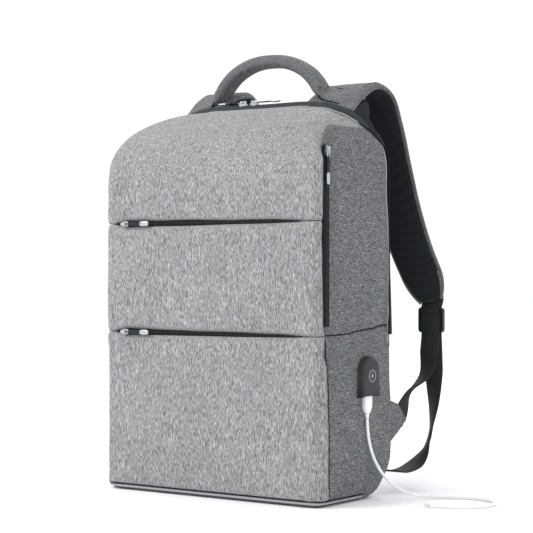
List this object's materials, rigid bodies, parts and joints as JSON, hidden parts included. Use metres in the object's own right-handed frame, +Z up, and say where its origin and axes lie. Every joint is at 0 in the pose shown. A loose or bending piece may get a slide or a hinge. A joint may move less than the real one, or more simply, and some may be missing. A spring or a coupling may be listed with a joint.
{
  "type": "charging backpack",
  "caption": "Upright laptop backpack in grey melange fabric with zipped front pockets, padded straps and a side charging socket.",
  "frame": {"origin": "middle of the flat underside that the bag stands on", "axes": "+Z up the back, +X towards the side with the charging socket, -Y towards the front pockets"},
  "size_m": [0.4629, 0.2626, 0.5145],
  "materials": {
    "melange": "light grey melange woven polyester",
    "melange_dark": "darker grey melange woven polyester",
    "lining": "dark grey woven lining",
    "air_mesh": "black air mesh over foam",
    "webbing": "black ribbed polyester webbing",
    "zip": "black coil zip on woven tape",
    "board": "stiffener sheet",
    "rubber": "matt black moulded rubber",
    "plastic": "black moulded acetal",
    "silver": "satin bright plated zinc",
    "steel": "plated steel",
    "white": "white moulded plastic"
  },
  "bodies": {
    "bag": {"anchor_tab_left": "melange_dark", "anchor_tab_right": "melange_dark", "back_pad_left": "air_mesh", "back_pad_right": "air_mesh", "back_panel": "air_mesh", "base_board": "board", "base_panel": "melange_dark", "frame_sheet": "board", "front_panel_lower": "melange", "front_panel_middle": "melange", "front_panel_upper": "melange", "handle_patch_left": "melange_dark", "handle_patch_right": "melange_dark", "laptop_divider": "lining", "lead_cable": "white", "lead_connector": "white", "lower_pocket_pouch": "lining", "lower_pocket_zip": "zip", "lumbar_pad": "air_mesh", "main_zip": "zip", "organiser_panel": "lining", "port_backing_plate": "plastic", "power_bank_pocket": "lining", "side_panel_left": "melange_dark", "side_panel_lower_left": "melange_dark", "side_panel_lower_right": "melange_dark", "side_panel_right": "melange_dark", "side_pocket_pouch": "lining", "side_pocket_zip": "zip", "strap_webbing_left": "webbing", "strap_webbing_right": "webbing", "strap_yoke_left": "melange_dark", "strap_yoke_right": "melange_dark", "upper_pocket_pouch": "lining", "upper_pocket_zip": "zip", "usb_extension_lead": "plastic", "usb_port_hood": "rubber", "usb_socket_shell": "steel", "usb_socket_tongue": "white", "webbing_tail_left": "webbing", "webbing_tail_right": "webbing", "zip_gusset": "lining"},
    "handle": {"carry_handle": "melange_dark"},
    "left_strap": {"shoulder_strap_left": "melange_dark", "strap_adjuster_left": "plastic"},
    "right_strap": {"shoulder_strap_right": "melange_dark", "strap_adjuster_right": "plastic"},
    "plug": {"charging_plug": "white", "charging_plug_shell": "steel"},
    "lower_pocket_zip_slider": {"lower_pocket_slider": "silver"},
    "lower_pocket_zip_pull": {"lower_pocket_pull": "silver"},
    "upper_pocket_zip_slider": {"upper_pocket_slider": "silver"},
    "upper_pocket_zip_pull": {"upper_pocket_pull": "silver"},
    "side_pocket_zip_slider": {"side_pocket_slider": "silver"},
    "side_pocket_zip_pull": {"side_pocket_pull": "silver"},
    "main_left_zip_slider": {"main_left_slider": "silver"},
    "main_left_zip_pull": {"main_left_pull": "silver"},
    "main_right_zip_slider": {"main_right_slider": "silver"},
    "main_right_zip_pull": {"main_right_pull": "silver"}
  },
  "joints": [
    {"name": "handle_fold", "type": "hinge", "parent": "bag", "child": "handle", "pos_m": [0, 0.05, 0.4643], "axis": [1, 0, 0], "range_deg": [-30, 10], "stiffness_Nm_per_rad": 0.15},
    {"name": "left_strap_swing", "type": "hinge", "parent": "bag", "child": "left_strap", "pos_m": [-0.093, 0.072, 0.462], "axis": [1, 0, 0], "range_deg": [-15, 12], "stiffness_Nm_per_rad": 1, "deforming": ["strap_webbing_left", "webbing_tail_left"]},
    {"name": "right_strap_swing", "type": "hinge", "parent": "bag", "child": "right_strap", "pos_m": [0.093, 0.072, 0.462], "axis": [1, 0, 0], "range_deg": [-15, 12], "stiffness_Nm_per_rad": 1, "deforming": ["strap_webbing_right", "webbing_tail_right"]},
    {"name": "lower_pocket_zip", "type": "slide", "parent": "bag", "child": "lower_pocket_zip_slider", "axis": [1, 0, 0], "range_m": [0, 0.225]},
    {"name": "lower_pocket_pull_swing", "type": "hinge", "parent": "lower_pocket_zip_slider", "child": "lower_pocket_zip_pull", "pos_m": [-0.12, -0.0785, 0.186], "axis": [0, 0, -1], "range_deg": [0, 160]},
    {"name": "upper_pocket_zip", "type": "slide", "parent": "bag", "child": "upper_pocket_zip_slider", "axis": [1, 0, 0], "range_m": [0, 0.225]},
    {"name": "upper_pocket_pull_swing", "type": "hinge", "parent": "upper_pocket_zip_slider", "child": "upper_pocket_zip_pull", "pos_m": [-0.12, -0.0785, 0.312], "axis": [0, 0, -1], "range_deg": [0, 160]},
    {"name": "side_pocket_zip", "type": "slide", "parent": "bag", "child": "side_pocket_zip_slider", "axis": [0, 0, -1], "range_m": [0, 0.18]},
    {"name": "side_pocket_pull_swing", "type": "hinge", "parent": "side_pocket_zip_slider", "child": "side_pocket_zip_pull", "pos_m": [0.1535, -0.056, 0.389], "axis": [0, -1, 0], "range_deg": [0, 150]},
    {"name": "main_left_zip", "type": "slide", "parent": "bag", "child": "main_left_zip_slider", "axis": [-1, 0, 0], "range_m": [0, 0.045]},
    {"name": "main_left_pull_swing", "type": "hinge", "parent": "main_left_zip_slider", "child": "main_left_zip_pull", "pos_m": [-0.024, 0.027, 0.4564], "axis": [0, 1, 0], "range_deg": [0, 90]},
    {"name": "main_right_zip", "type": "slide", "parent": "bag", "child": "main_right_zip_slider", "axis": [1, 0, 0], "range_m": [0, 0.06]},
    {"name": "main_right_pull_swing", "type": "hinge", "parent": "main_right_zip_slider", "child": "main_right_zip_pull", "pos_m": [-0.008, 0.027, 0.4564], "axis": [0, -1, 0], "range_deg": [0, 90]},
    {"name": "plug_pull", "type": "slide", "parent": "bag", "child": "plug", "axis": [0, 0, -1], "range_m": [0, 0.0125], "deforming": ["lead_cable"]}
  ]
}
